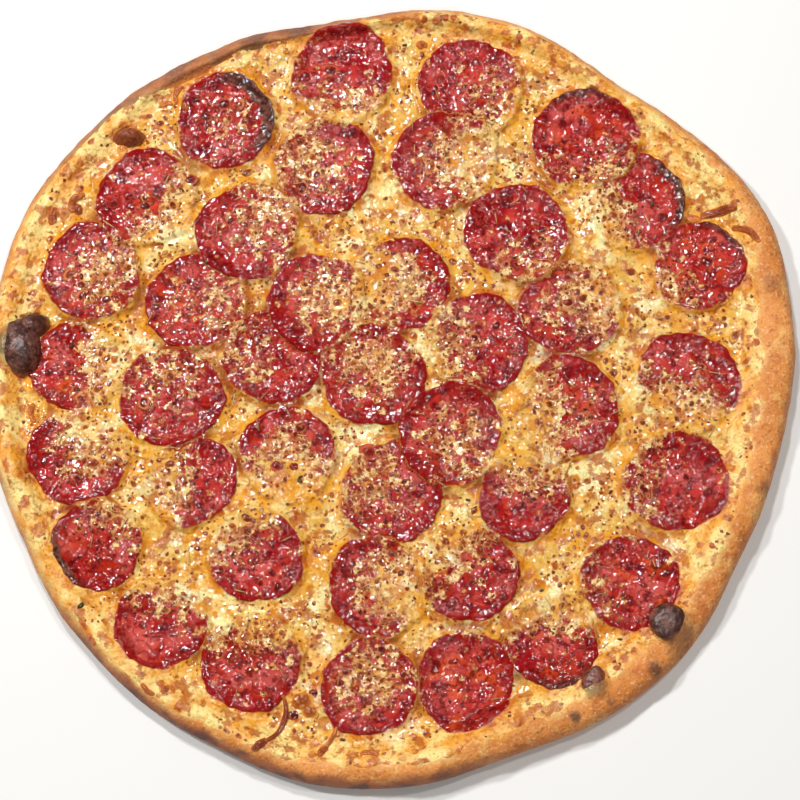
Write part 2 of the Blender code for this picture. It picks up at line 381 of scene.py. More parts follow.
# %% The forty slices
# pool, cheese from (degrees), how much, burnt side (degrees), how much, orange fat
SLICE_LOOKS = (
    (0.25, 180, 0.35, 260, 0.1, 0.0),
    (0.20, 315, 0.55, 80, 0.1, 0.1),
    (0.05, 200, 0.90, 15, 0.7, 0.1),
    (0.40, 160, 0.50, 330, 0.3, 0.0),
    (0.30, 180, 1.00, 0, 0.1, 0.0),
    (0.35, 0, 0.40, 200, 0.2, 0.5),
    (0.90, 180, 0.80, 0, 0.0, 0.1),
    (0.85, 0, 0.80, 180, 0.0, 0.2),
    (0.60, 340, 0.40, 170, 0.0, 0.2),
    (0.60, 160, 0.45, 330, 0.4, 0.0),
    (0.00, 215, 0.45, 50, 0.6, 0.3),
    (0.60, 20, 0.60, 180, 0.1, 0.4),
    (0.55, 60, 0.80, 205, 0.4, 0.0),
    (0.80, 90, 0.30, 300, 0.2, 0.1),
    (0.20, 190, 0.65, 10, 0.3, 0.0),
    (0.65, 10, 0.50, 190, 0.4, 0.0),
    (0.00, 320, 0.85, 120, 0.1, 0.2),
    (0.45, 30, 0.50, 200, 0.4, 0.0),
    (0.35, 100, 0.35, 300, 0.1, 0.1),
    (0.10, 0, 0.85, 180, 0.1, 0.5),
    (0.00, 60, 0.55, 205, 0.66, 0.1),
    (0.40, 340, 0.15, 25, 1.0, 0.1),
    (0.00, 270, 0.60, 100, 0.0, 0.1),
    (0.70, 0, 0.70, 110, 0.4, 0.1),
    (0.00, 290, 0.45, 95, 0.6, 0.25),
    (0.05, 290, 0.45, 150, 0.3, 0.0),
    (0.30, 250, 0.95, 20, 0.1, 0.1),
    (0.40, 190, 0.80, 60, 0.1, 0.3),
    (0.60, 320, 0.30, 100, 0.4, 0.1),
    (0.15, 80, 0.80, 200, 0.3, 0.0),
    (0.00, 170, 0.45, 270, 0.1, 0.1),
    (0.00, 200, 0.35, 320, 0.3, 0.5),
    (0.30, 130, 0.80, 320, 0.1, 0.1),
    (0.00, 90, 1.00, 285, 0.6, 0.2),
    (0.00, 100, 0.15, 270, 0.1, 0.5),
    (0.85, 90, 0.30, 180, 0.3, 0.5),
    (0.00, 80, 0.80, 250, 0.1, 0.1),
    (0.00, 70, 0.75, 250, 0.1, 0.1),
    (0.00, 130, 0.85, 260, 0.2, 0.1),
    (0.80, 270, 0.90, 90, 0.1, 0.2),
)


def apart(one, x, y):
    """How far a point is from a slice's middle."""
    return math.hypot(x - one.x, y - one.y)


slices = []
for number, (pool, from_side, flow, burnt_side, burnt, fat) in enumerate(SLICE_LOOKS, 1):
    low, high = (np.array(corner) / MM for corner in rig.box("pepperoni_%02d" % number))
    wide = ((high - low)[0] + (high - low)[1]) / 2
    middle = (low + high) / 2
    one = SimpleNamespace(number=number, x=middle[0], y=middle[1], wide=wide, tone=(0.618 * number) % 1.0)
    one.pool, one.from_side, one.flow = pool, math.radians(from_side), flow
    one.burnt_side, one.burnt, one.fat = math.radians(burnt_side), burnt, fat
    slices.append(one)
for one in slices:
    one.under = [
        other
        for other in slices[: one.number - 1]
        if apart(other, one.x, one.y) < (other.wide + one.wide) / 2 + 3
    ]
    reach = apart(one, 0, 0) + one.wide / 2
    turn = math.atan2(one.y, one.x)
    one.by_rim = reach > outline(turn) - rim_width(turn) - 9
print("slices on the rim's slope:", sum(one.by_rim for one in slices))

# %% The melted cheese between the slices, and the top of each slice
CHEESE_LEVEL = 7.3
# How far a slice's top lies above what it rests on, and how softly it bends over it
ABOVE_CHEESE, ABOVE_SLICE, ABOVE_DOUGH, SOFT = 1.35, 1.5, 1.3, 0.8


def cheese_level(x, y):
    """The cheese where no slice lies."""
    high = CHEESE_LEVEL + 0.9 * hills(x, y, 25, 11) + 0.45 * hills(x, y, 10, 12)
    return high + 0.8 * bubble_lift(x, y)


def across(one, x, y):
    """How far out a point is on a slice: 0 at its middle, 1 at its ragged edge."""
    dx = x - one.x
    dy = y - one.y
    turn = np.arctan2(dy, dx)
    n = one.number
    edge = 1 + 0.026 * np.cos(2 * turn + n) + 0.024 * np.cos(3 * turn + 2.3 * n)
    edge += 0.018 * np.cos(5 * turn + 1.7 * n) + 0.012 * np.cos(9 * turn + 3 * n)
    edge += 0.009 * np.cos(14 * turn + 4 * n) + 0.009 * np.cos(23 * turn + 5 * n)
    return np.hypot(dx, dy) / (0.5 * one.wide * edge), turn


# Folds across a slice: its number, the way it faces in degrees, how far out, half width, height
FOLDS = (
    (17, 100, 0.30, 0.30, 1.3), (17, 100, -0.12, 0.10, -0.9), (17, 215, 0.55, 0.12, 0.8),
    (20, 180, 0.38, 0.22, 1.3), (20, 180, 0.05, 0.10, -0.7), (37, 0, 0.30, 0.25, 1.0),
    (37, 0, 0.0, 0.09, -0.8), (26, 215, 0.62, 0.2, 1.2), (26, 215, 0.3, 0.1, -0.7),
    (25, 60, 0.25, 0.12, 0.8), (32, 320, 0.2, 0.2, 0.9), (34, 280, 0.75, 0.16, 1.6),
    (21, 60, 0.0, 0.35, 1.0), (5, 20, 0.1, 0.2, 0.7), (23, 270, 0.0, 0.14, 0.9),
    (33, 260, 0.3, 0.2, 0.8), (2, 200, 0.1, 0.2, 0.6), (7, 40, 0.5, 0.2, 0.8),
)


def slice_top(one, x, y):
    """Height of a slice's upper face, draped over the slices under it."""
    out, turn = across(one, x, y)
    curl = 0.5 + 2.5 * one.burnt**1.5 * np.clip(np.cos(turn - one.burnt_side), 0, 1) ** 1.5
    n = one.number
    high = CHEESE_LEVEL + ABOVE_CHEESE + 0.65 * hills(x, y, 25, 11)
    high = high + (0.55 + curl) * np.clip(out, 0, 1.1) ** 5
    high = high + 0.35 * hills(x, y, 9, 40 + n) + 0.16 * hills(x, y, 4, 90 + n)
    for number, facing, offset, half_wide, tall in FOLDS:
        if number == n:
            gap = (out * np.cos(turn - math.radians(facing)) - offset) / half_wide
            high = high + tall * np.exp(-gap * gap) * step(1.05, 0.8, out)
    for other in one.under:
        far = across(other, x, y)[0]
        high = soft_max(high, slice_top(other, x, y) + ABOVE_SLICE - 9 * step(0.9, 1.35, far), SOFT)
    if one.by_rim:
        high = soft_max(high, crust_top(x, y) + ABOVE_DOUGH, SOFT)
    return high


def slice_fat(one, x, y):
    """Where a slice holds orange fat."""
    return np.clip(1.8 * one.fat, 0, 1) * step(-0.25, 0.45, hills(x, y, 13, 400 + one.number))


def burnt_edge(one, out, turn, x, y):
    """Where the curled edge of a slice burnt."""
    side = np.clip(np.cos(turn - one.burnt_side), 0, 1)
    inner = 0.88 - 0.26 * one.burnt
    ragged = out + 0.05 * hills(x, y, 4, 350 + one.number)
    return one.burnt * side**0.6 * step(inner, inner + 0.12 + 0.1 * one.burnt, ragged)


def cheese_cover(one, x, y):
    """Above 0 where the melted cheese lies over a slice."""
    out, turn = across(one, x, y)
    toward = out * np.cos(turn - one.from_side)
    n = one.number
    cover = 1.15 * one.pool * (1 - step(0.35, 0.9, out)) + 1.5 * one.flow * step(-0.35, 0.75, toward)
    cover += 0.5 * one.flow * step(0.6, 1.0, toward)
    cover += 0.30 * hills(x, y, 7, 140 + n) + 0.22 * hills(x, y, 2.8, 190 + n)
    cover += 0.9 * np.clip(hills(x, y, 9, 240 + n), 0, 1) * step(0.7, 0.95, out)
    return cover - 0.42 - 1.6 * burnt_edge(one, out, turn, x, y)


# %% Where the oven charred a bubble of dough
# x, y, half widths along x and y, top's height, turn in degrees, how black
CHARRED = (
    (-152.6, 17.2, 9.4, 12.6, 17.4, 8, 1.0),
    (-147.8, 26.6, 7.0, 6.0, 15.8, 25, 0.8),
    (111.0, -99.0, 6.6, 7.4, 17.6, -30, 1.0),
    (81.4, -123.2, 4.9, 6.4, 16.0, -15, 0.66),
    (-109.8, 108.6, 7.0, 4.6, 15.2, 5, 0.42),
)

# %% [markdown]
# ## The cheese
# Melted cheese is one sheet with the slices peeping through. It starts as a flat grid, bent into a disc. Then
# each vertex gets its height: between slices it lies low, over a slice it runs as a thin film, and where a
# slice is bare it dips underneath. Where the sheet meets the rim it dives into the dough, so its edge is as
# ragged as real cheese.

# %% A grid bent into a disc
GRID = 312
UP_THE_RIM = 0.72


def disc_map(u, v):
    """Maps a square of -1 to 1 to a disc without crowding its cells."""
    wide = np.abs(u) > np.abs(v)
    r = np.where(wide, u, v)
    safe = np.where(np.abs(r) < 1e-9, 1e-9, r)
    turn = np.where(wide, np.pi / 4 * v / safe, np.pi / 2 - np.pi / 4 * u / safe)
    return r * np.cos(turn), r * np.sin(turn)


sheet = bmesh.new()
bmesh.ops.create_grid(sheet, x_segments=GRID, y_segments=GRID, size=1.0)
cheese_mesh = as_mesh(sheet, "cheese_sheet")
square = read_points(cheese_mesh)
x, y = disc_map(square[:, 0], square[:, 1])
turn = np.arctan2(y, x)
edge_line = outline(turn) - rim_width(turn)
x = x * (edge_line + UP_THE_RIM * rim_width(turn))
y = y * (edge_line + UP_THE_RIM * rim_width(turn))
near_edge = edge_line - np.hypot(x, y)
print("cheese sheet:", len(x), "points")

# %% How far the cheese climbs the rim
# At these degrees round the pizza, so many millimetres of bare crust are left outside the cheese
BARE_AT = (0, 14, 30, 50, 75, 95, 120, 137, 180, 215, 235, 262, 285, 312, 335, 350)
BARE_CRUST = (14, 15, 6, 4, 1, 4, 10, 4, 1, 2, 5, 8, 8, 12, 9, 12)


def past_cheese(x, y):
    """Millimetres from the cheese's ragged outer edge, above 0 inside it."""
    turn = np.arctan2(y, x)
    bare_crust = np.interp(np.degrees(turn), BARE_AT, BARE_CRUST, period=360)
    ragged = 2.6 * hills(x, y, 11, 16) + 1.4 * hills(x, y, 4, 17)
    return outline(turn) - np.hypot(x, y) - bare_crust + ragged


# %% Heights of the sheet
FAR_OUT = 2.0
level = cheese_level(x, y) + 1.5 * step(10, 0, near_edge)
level += 0.26 * hills(x, y, 4.2, 13) + 0.2 * hills(x, y, 2.2, 14)
high = level.copy()
crevice, buried, cover_there, tone_there, fat_there = np.zeros((5, len(x)))
out_there = np.full(len(x), FAR_OUT)
for one in slices:
    near = np.flatnonzero(np.hypot(x - one.x, y - one.y) < 0.7 * one.wide)
    spot = x[near], y[near]
    out, turn_here = across(one, *spot)
    cover = cheese_cover(one, *spot)
    film = slice_top(one, *spot) + np.clip(1.5 * cover, -1.3, 0.5) + 0.16 * hills(*spot, 2.4, 15)
    part = step(1.13, 0.97, out)
    high[near] = high[near] * (1 - part) + film * part
    hidden = step(0.35, 0.75, one.flow * step(-0.1, 0.8, np.cos(turn_here - one.from_side)))
    bridge = 1.3 * hidden * step(1.6, 1.0, out)
    high[near] = np.maximum(high[near], level[near] + bridge) * (1 - part) + high[near] * part
    buried[near] = np.maximum(buried[near], hidden * step(1.7, 1.2, out) * step(0.6, 0.9, out))
    inside = out < 1.06
    # Painted shade: the crevice just outside each slice's edge is marked here, so the cheese can be painted darker
    # there.
    crevice[near] = np.maximum(crevice[near], step(1.3, 1.05, np.maximum(out, out_there[near])))
    around = out < np.minimum(out_there[near], 1.4)
    out_there[near[around]] = out[around]
    out_there[near[inside]] = out[inside]
    cover_there[near[inside]] = cover[inside]
    tone_there[near[inside]] = one.tone
    fat_there[near[inside]] = slice_fat(one, *spot)[inside]
border = near_edge < 12
dough_high = np.full(len(x), NOTHING)
dough_high[border] = crust_top(x[border], y[border])
spread = past_cheese(x, y)
on_dough = dough_high + np.clip(0.16 * spread, -1.0, 0.45)
on_rim = border & (near_edge < 0)
high[border] = soft_max(high[border], on_dough[border], 1.6)
high[on_rim] = np.where(spread < 0, on_dough, high)[on_rim]
for bubble in CHARRED:
    reach = np.hypot((x - bubble[0]) / bubble[2], (y - bubble[1]) / bubble[3])
    high -= 1.5 * step(1.0, 0.8, reach)
print("cheese:", len(x), "vertices,", round(high.min(), 1), "to", round(high.max(), 1), "mm")

# %% Close the sheet underneath
UNDERSIDE = 0.93
UNDERSIDE_LEVEL = 3.4
write_points(cheese_mesh, np.stack([x, y, high], 1))
sheet = bmesh.new()
sheet.from_mesh(cheese_mesh)
rim_edges = [e for e in sheet.edges if e.is_boundary]
for part in bmesh.ops.extrude_edge_only(sheet, edges=rim_edges)["geom"]:
    if isinstance(part, bmesh.types.BMVert):
        part.co = (UNDERSIDE * part.co.x, UNDERSIDE * part.co.y, UNDERSIDE_LEVEL * MM)
bmesh.ops.contextual_create(sheet, geom=[e for e in sheet.edges if e.is_boundary])
bmesh.ops.recalc_face_normals(sheet, faces=sheet.faces)
extra = len(sheet.verts) - len(x)
sheet.to_mesh(cheese_mesh)
sheet.free()
finished("melted_cheese", cheese_mesh, "cheese", "cheese", sharp=60)
masks = dict(
    cream=step(-0.15, 0.6, hills(x, y, 17, 21) + 0.35 * hills(x, y, 6, 22)),
    oily=step(0.1, 0.75, hills(x, y, 15, 23) + 0.4 * hills(x, y, 5, 24)),
    toward_rim=step(9, -4, near_edge),
    edge=out_there,
    crevice=crevice * step(0.99, 1.03, out_there) * (1 - buried),
    buried=buried,
    cover=cover_there,
    tone=tone_there,
    fat=fat_there,
)
hidden_side = dict(edge=FAR_OUT)
for key, values in masks.items():
    paint(cheese_mesh, **{key: np.append(values, np.full(extra, hidden_side.get(key, 0.0)))})
print("melted cheese:", len(cheese_mesh.polygons), "faces")
sheet_tree = BVHTree.FromPolygons(
    [Vector(p) for p in np.stack([x, y, high], 1)],
    [tuple(p.vertices) for p in cheese_mesh.polygons if len(p.vertices) == 4 and max(p.vertices) < len(x)],
)

# %% [markdown]
# ## The slices
# A slice of cured sausage is a thin disc that shrinks and cups in the oven. A grid is bent into a disc again,
# this time small, and copied down for the underside.

# %% Make each slice
SLICE_GRID = 40
SLICE_THICK = 1.55
slice_trees = []
slice_pieces = []
for one in slices:
    n = one.number
    half = 0.5 * one.wide
    disc = bmesh.new()
    bmesh.ops.create_grid(disc, x_segments=SLICE_GRID, y_segments=SLICE_GRID, size=1.0)
    bmesh.ops.solidify(disc, geom=disc.faces[:], thickness=0.01)
    mesh = as_mesh(disc, "pepperoni_slice_%02d" % n)
    square = read_points(mesh)
    lower = np.abs(square[:, 2]) > 1e-6
    u, v = disc_map(square[:, 0], square[:, 1])
    far = np.hypot(u, v)
    turn = np.arctan2(v, u)
    spread = 1 - (1 - far) ** 1.25
    edge = half / across(one, one.x + half * np.cos(turn), one.y + half * np.sin(turn))[0]
    px = one.x + spread * edge * np.cos(turn)
    py = one.y + spread * edge * np.sin(turn)
    top = slice_top(one, px, py) + 0.10 * hills(px, py, 1.9, 300 + n)
    rounding = 0.55 * step(0.93, 1.0, spread)
    spots = np.stack([px, py, np.where(lower, top - SLICE_THICK + rounding, top - rounding)], 1)
    write_points(mesh, spots)
    face_outward(mesh)
    paint(
        mesh,
        edge=spread,
        cover=cheese_cover(one, px, py),
        burnt=burnt_edge(one, spread, turn, px, py),
        fat=slice_fat(one, px, py),
        tone=np.full(len(px), one.tone),
    )
    slice_pieces.append(finished("pepperoni_slice_%02d" % n, mesh, "pepperoni_%02d" % n, "pepperoni"))
    faces = [tuple(p.vertices) for p in mesh.polygons]
    slice_trees.append(BVHTree.FromPolygons([Vector(p) for p in spots], faces))
print("slices:", len(slice_pieces), "of", len(slice_pieces[0].data.polygons), "faces")

# %% The dough's own masks
finished("baked_crust", crust_mesh, "crust", "crust")
write_points(crust_mesh, crust_spots)
cx, cy, cz = crust_spots.T
turn = np.arctan2(cy, cx)
# Scorched places: x, y, radius, strength
SCORCHES = (
    (-151.0, 18.0, 13.0, 0.8), (111.5, -100.5, 8.5, 0.8), (117.0, -107.0, 8.5, 0.5),
    (81.5, -123.5, 6.5, 0.7), (-110.0, 110.0, 6.5, 0.5), (106.0, -118.5, 3.6, 0.7),
    (73.9, -137.0, 3.0, 0.8), (88.0, -131.0, 2.4, 0.5), (151.0, -45.8, 4.0, 0.4),
    (157.0, 40.0, 4.5, 0.35), (149.5, 19.7, 3.0, 0.35), (-56.6, 147.7, 8.0, 0.45),
    (-70.0, 141.0, 6.0, 0.35), (-147.0, -50.6, 3.5, 0.4), (-152.5, -34.7, 3.5, 0.4),
    (-40.0, 158.0, 8.0, 0.4),
)
scorch = np.zeros(len(cx))
for sx, sy, radius, strength in SCORCHES:
    reach = np.hypot(cx - sx, cy - sy) / radius
    reach = reach + 0.25 * hills(cx, cy, 4, 31)
    scorch = np.maximum(scorch, strength * step(1.15, 0.45, reach))
low_left = step(0.7, 0.98, np.cos(turn - math.radians(250)))
top_left = step(0.75, 0.99, np.cos(turn - math.radians(118)))
inward = outline(turn) - np.hypot(cx, cy) + 1.6 * hills(cx, cy, 8, 32)
edge_dark = np.clip(0.2 * step(3.0, 0.5, inward) + 0.85 * low_left * step(5, 1.5, inward), 0, 1)
edge_dark = np.maximum(edge_dark, 0.75 * top_left * step(13, 5, inward))
paint(
    crust_mesh,
    scorch=np.clip(scorch * step(5, 9, cz), 0, 1),
    edge_dark=edge_dark,
    glaze=step(-3.5, 3.5, past_cheese(cx, cy)),
    under=step(1.2, 0.2, cz),
)
print("crust piece painted")

# %% [markdown]
# ## Charred bubbles
# A big bubble in the dough pokes out of the pizza, so it burns black. Each one is a sphere, pressed flat and
# wrinkled by noise. Its lower half is a straight wall that goes into the dough, so it never hangs over.

# %% Blow up the charred bubbles
charred = bmesh.new()
char_layer = charred.verts.layers.float.new("char")
for k, (bx, by, wide, deep, top, lean, black) in enumerate(CHARRED):
    made = bmesh.ops.create_icosphere(charred, subdivisions=6 if k == 0 else 5, radius=1.0)["verts"]
    tall = top - min(look_down(crust_tree, bx, by)[0], top - 3)
    for v in made:
        n = v.co.copy()
        crinkle = 1 + 0.10 * noise.noise(n * 1.4 + Vector((k, 3, 5)))
        crinkle += 0.03 * noise.noise(n * 3.5 + Vector((7, k, 1)))
        crinkle -= 0.025 * abs(noise.noise(n * 6 + Vector((k, k, 9))))
        char = 0.5 + 1.1 * n.z + 0.5 * noise.noise(n * 3 + Vector((1, 2, k)))
        v[char_layer] = min(1, max(0, char)) * black
        straight = 1.0 if n.z > 0 else min(1.25, (1 + 0.1 * n.z) / max(0.1, math.hypot(n.x, n.y)))
        across_it = Vector((n.x * wide, n.y * deep, 0)) * crinkle * straight
        place = Matrix.Rotation(math.radians(lean), 3, "Z") @ across_it
        reach = tall if n.z > 0 else min(9.0, top - tall - 2.0)
        v.co = Vector((bx + place.x, by + place.y, top - tall + n.z * crinkle * reach)) * MM
charred_mesh = as_mesh(charred, "charred_bubbles")
finished("charred_bubbles", charred_mesh, "crust", "crust")
print("charred bubbles:", len(CHARRED), "domes,", len(charred_mesh.polygons), "faces")

# %% [markdown]
# ## Blisters
# Cheese boils in the oven and its bubbles brown first. Thousands of small domes give that look. One dome is
# spun, and copies of its points are laid out with arrays, each with its own size, squash and tint.


# %% Copies of one small shape
def lying(slope, turn_by, sizes, lean=0.0, axis="X"):
    """The matrix that stretches a shape, turns and tips it, and lays it on a slope."""
    lay = Vector((0, 0, 1)).rotation_difference(slope).to_matrix() @ Matrix.Rotation(lean, 3, axis)
    return np.array(lay @ (Matrix.Rotation(turn_by, 3, "Z") @ Matrix.Diagonal(sizes)))


def scatter(name, shape, places, slot, masks, wobble=0.0):
    """One piece with a copy of a bmesh for each 3x3 matrix and place, each copy a bit different."""
    shape.verts.index_update()
    points = np.array([v.co[:] for v in shape.verts])
    faces = [[v.index for v in f.verts] for f in shape.faces]
    shape.free()
    turns, spots = places
    count, each = len(spots), len(points)
    uneven = 1 + wobble * np.random.default_rng(7).uniform(-1, 1, (count, each, 1))
    spread = np.einsum("kij,kpj->kpi", turns, points[None] * uneven) + spots[:, None, :]
    mesh = bpy.data.meshes.new(name)
    copies = [[i + k * each for i in face] for k in range(count) for face in faces]
    mesh.from_pydata(spread.reshape(-1, 3) * MM, [], copies)
    masks = {key: np.repeat(values, each) for key, values in masks.items()}
    paint(mesh, crown=np.tile(np.clip(points[:, 2], 0, 1), count), **masks)
    piece = finished(name, mesh, "cheese", slot)
    print(name, count, "copies,", sum(len(f) - 2 for f in faces) * count, "triangles")
    return piece


def surface(x, y):
    """The topmost height at a point, its slope, and what lies on top there."""
    found = (*look_down(sheet_tree, x, y), "cheese")
    under = [tree for one, tree in zip(slices, slice_trees) if apart(one, x, y) < 0.54 * one.wide]
    for tree, what in [(tree, "slice") for tree in under] + [(crust_tree, "crust")]:
        high, slope = look_down(tree, x, y)
        if high > found[0]:
            found = (high, slope, what)
    return found


def nearest_cover(x, y):
    """The cheese cover over the topmost slice here, or None between slices."""
    for one in reversed(slices):
        if apart(one, x, y) < 0.53 * one.wide:
            spot = np.array([x]), np.array([y])
            if across(one, *spot)[0][0] < 1:
                return float(cheese_cover(one, *spot)[0])
    return None


# %% Lay out the blisters
draw = np.random.default_rng(41)
# grid step, smallest and largest radius, then the chance on open cheese, on the film and on bare sausage
BLISTER_SIZES = (
    (8.0, 1.4, 2.1, 0.2, 0.5, 0.3),
    (4.4, 0.85, 1.35, 0.48, 0.72, 0.2),
    (2.7, 0.42, 0.75, 0.44, 0.56, 0.14),
)
# Bubbles that stand out: x, y, radius, tint
BIG_BLISTERS = (
    (-62.7, -111.9, 3.2, 0.2), (-55.0, -117.9, 2.8, 0.2), (-54.4, -72.7, 2.6, 0.3),
    (-7.7, -28.5, 2.8, 0.2), (-45.2, -33.6, 2.2, 0.5), (-38.7, -34.1, 2.2, 0.5),
    (-34.7, -129.5, 4.4, 0.1), (-37.6, -134.8, 2.6, 1.1), (-31.0, -133.5, 2.8, 0.2),
    (-29.6, -126.3, 2.0, 1.2), (-81.5, 125.1, 2.4, 1.2), (-69.6, 123.1, 2.4, 1.2),
    (-77.5, 117.4, 2.2, 1.3), (-83.3, 89.1, 2.2, 1.2), (131.1, 50.7, 2.6, 0.9),
    (113.9, 70.4, 2.4, 0.6), (99.8, 47.3, 2.2, 0.4), (74.1, 33.9, 2.2, 0.7),
    (-102.0, 78.3, 2.0, 1.2), (-24.8, 137.2, 2.6, 1.3),
)
# Half the side of the field they are laid out in, and the radius from which they keep off a slice's edge
FIELD = 156
LARGE = 0.85
laid = []
taken = np.zeros((0, 3))
for px, py, size, tint in BIG_BLISTERS:
    redness = 0.4 * tint if nearest_cover(px, py) is None else 0.8
    taken = np.vstack([taken, (px, py, size)])
    spot = (px, py, surface(px, py)[0] - 0.1 * size)
    laid.append((np.diag((size * 1.2, size, size * 0.36)), spot, min(1, tint), 0.6 + tint, redness))
for grid_step, small, large, *chances in BLISTER_SIZES:
    for gy in np.arange(-FIELD, FIELD, grid_step):
        for gx in np.arange(-FIELD, FIELD, grid_step):
            px, py = np.array([gx, gy]) + draw.uniform(-0.5, 0.5, 2) * grid_step
            luck, big, tint, spin_by, squash = draw.uniform(0, 1, 5)
            angle = math.atan2(py, px)
            room = outline(angle) - rim_width(angle) - math.hypot(px, py)
            if room < 1.5 or (room < 7 and luck > 0.12):
                continue
            spot = np.array([px]), np.array([py])
            cover = nearest_cover(px, py)
            kind = 0 if cover is None else (1 if cover > 0 else 2)
            busy = float(hills(*spot, 19, 51)[0] + 0.5 * hills(*spot, 8, 52)[0])
            calm = max(0, float(hills(*spot, 17, 21)[0]))
            chance = chances[kind] * (1 + (2.2 * busy - 1.5 * calm if kind == 0 else 1.5 * busy))
            size = small + (large - small) * big
            close = np.hypot(taken[:, 0] - px, taken[:, 1] - py) < 0.85 * (taken[:, 2] + size)
            if luck > chance or close.any() or (cover is not None and cover < -1.0):
                continue
            high, slope, on = surface(px, py)
            near = [one for one in slices if size > LARGE and apart(one, px, py) < 25]
            if on == "crust" or any(0.86 < across(one, *spot)[0][0] < 1.12 for one in near):
                continue
            taken = np.vstack([taken, (px, py, size)])
            sizes = (size * (1.0 + 0.6 * squash), size, size * (0.24 + 0.2 * squash))
            shape = lying(slope.lerp(Vector((0, 0, 1)), 0.4), spin_by * 2 * math.pi, sizes)
            redness = kind / 2 if kind != 1 else 0.5 - 0.36 * float(step(0.1, 0.8, cover))
            laid.append((shape, (px, py, high - 0.12 * size), tint, kind, redness))
turns, spots, tints, kinds, reds = (np.array(column) for column in zip(*laid))
print("blisters laid out:", len(laid))

# %% Spin the blister's shape and copy it
# (radius, height) from the top down to the brim that sinks into the cheese
BLISTER_PROFILE = ((0.0, 1.0), (0.38, 0.9), (0.66, 0.62), (0.86, 0.3), (1.1, 0.05), (1.35, -0.2), (0.0, -0.3))
BLISTER_SIDES = 10
on_film = (kinds >= 0.9) & (kinds < 1.9)
on_left = spots[:, 0] < 0
blister_pieces = []
for name, wanted, slot in (
    ("cheese_blisters", kinds < 0.9, "cheese"),
    ("film_blisters_left", on_film & on_left, "cheese"),
    ("film_blisters_right", on_film & ~on_left, "cheese"),
    ("pepperoni_blisters", kinds >= 1.9, "pepperoni"),
):
    dome = spun(BLISTER_PROFILE, BLISTER_SIDES)
    masks = dict(tint=tints[wanted], meaty=reds[wanted])
    blister_pieces.append(scatter(name, dome, (turns[wanted], spots[wanted]), slot, masks, wobble=0.19))

# %% [markdown]
# ## Toasted drips
# Where cheese runs onto the hot rim it toasts into brown drips and strands. Each one is a sphere pulled long,
# bent round an arc, and laid on whatever is under it, vertex by vertex.

# %% Lay the toasted drips
# x, y, length, width, height, turn and bend in degrees, how dark
DRIPS = (
    (136.8, 72.2, 15.0, 3.6, 1.5, 8, 20, 0.7),
    (126.5, 70.0, 7.0, 3.4, 1.3, 160, 40, 0.35),
    (148.4, 62.5, 14.0, 2.8, 1.3, -35, 60, 0.55),
    (-41.4, -138.1, 23.0, 2.2, 1.5, -110, 95, 0.75),
    (-50.6, -147.0, 7.6, 3.4, 1.8, 38, 20, 0.8),
    (-22.7, -145.3, 12.0, 1.8, 1.2, -125, 40, 0.45),
    (-25.6, -149.2, 6.0, 3.0, 1.4, 48, 20, 0.6),
    (-132.7, 80.9, 10.0, 3.0, 1.6, 60, 140, 0.55),
    (-130.5, 77.5, 5.0, 3.6, 1.8, 100, 20, 0.7),
    (-140.9, 74.4, 8.0, 4.0, 1.3, 80, 30, 0.6),
    (-90.3, 128.4, 9.0, 2.4, 1.5, 70, 120, 0.45),
    (-94.5, 124.0, 6.0, 2.2, 1.2, 10, 90, 0.3),
    (-86.0, 122.0, 4.0, 2.6, 1.2, 120, 20, 0.5),
    (-7.1, -150.0, 8.0, 2.2, 1.2, 0, 60, 0.4),
    (-95.8, -125.4, 7.0, 2.2, 1.2, 140, 60, 0.45),
    (-118.8, -104.8, 6.0, 2.4, 1.2, 120, 40, 0.4),
    (-88.6, -125.0, 4.0, 2.6, 1.3, 40, 20, 0.5),
    (14.0, 148.7, 5.0, 3.4, 1.4, 0, 10, 0.45),
    (-147.2, -10.4, 9.0, 2.4, 1.3, 95, 60, 0.4),
    (-112.0, 104.0, 8.0, 4.6, 1.2, 80, 10, 0.1),
)
drips = bmesh.new()
dark_layer = drips.verts.layers.float.new("dark")
for k, (bx, by, long, wide, tall, lean, bend, dark) in enumerate(DRIPS):
    made = bmesh.ops.create_icosphere(drips, subdivisions=4, radius=1.0)["verts"]
    facing = Matrix.Rotation(math.radians(lean), 2)
    bend = math.radians(bend)
    for v in made:
        n = v.co.copy()
        lump = 1 + 0.35 * noise.noise(n * 1.6 + Vector((k, 2, 4)))
        lump += 0.12 * noise.noise(n * 5 + Vector((3, k, 4)))
        along = n.x * bend / 2
        radius = long / bend
        fuller = max(0.05, 1 - n.x * n.x) ** (-0.3 if long > 2.5 * wide else -0.05)
        side = n.y * fuller * lump * wide / 2
        flat = Vector(((radius + side) * math.sin(along), (radius + side) * math.cos(along) - radius))
        flat = facing @ flat
        px, py = bx + flat.x, by + flat.y
        under = surface(px, py)[0]
        v[dark_layer] = min(1, max(0, dark + 0.45 * n.z - 0.2 + 0.3 * noise.noise(n * 3 + Vector((9, k, 1)))))
        v.co = Vector((px, py, under + (n.z * fuller * lump - 0.1) * tall)) * MM
drips_mesh = as_mesh(drips, "toasted_drips")
finished("toasted_drips", drips_mesh, "cheese", "cheese")
print("toasted drips:", len(DRIPS), "with", len(drips_mesh.polygons), "faces")

# %% [markdown]
# ## Herbs
# Dried oregano leaves two things behind: dark leaf flakes and pale bits of stem. Both are tiny, so a few
# faces each are enough.

# %% Leaf flakes and stems
# The largest bits of leaf: x, y, half length, turn
LEAVES = (
    (-123.3, -91.4, 2.0, 0.9),
    (-66.0, 71.5, 1.6, 1.1),
    (96.0, 92.5, 1.5, 1.6),
    (-131.0, 18.0, 1.8, 0.4),
    (52.0, 54.0, 1.5, 0.6),
    (-36.0, -40.0, 1.8, 2.2),
)
FLAKES = 460
STEMS = 170


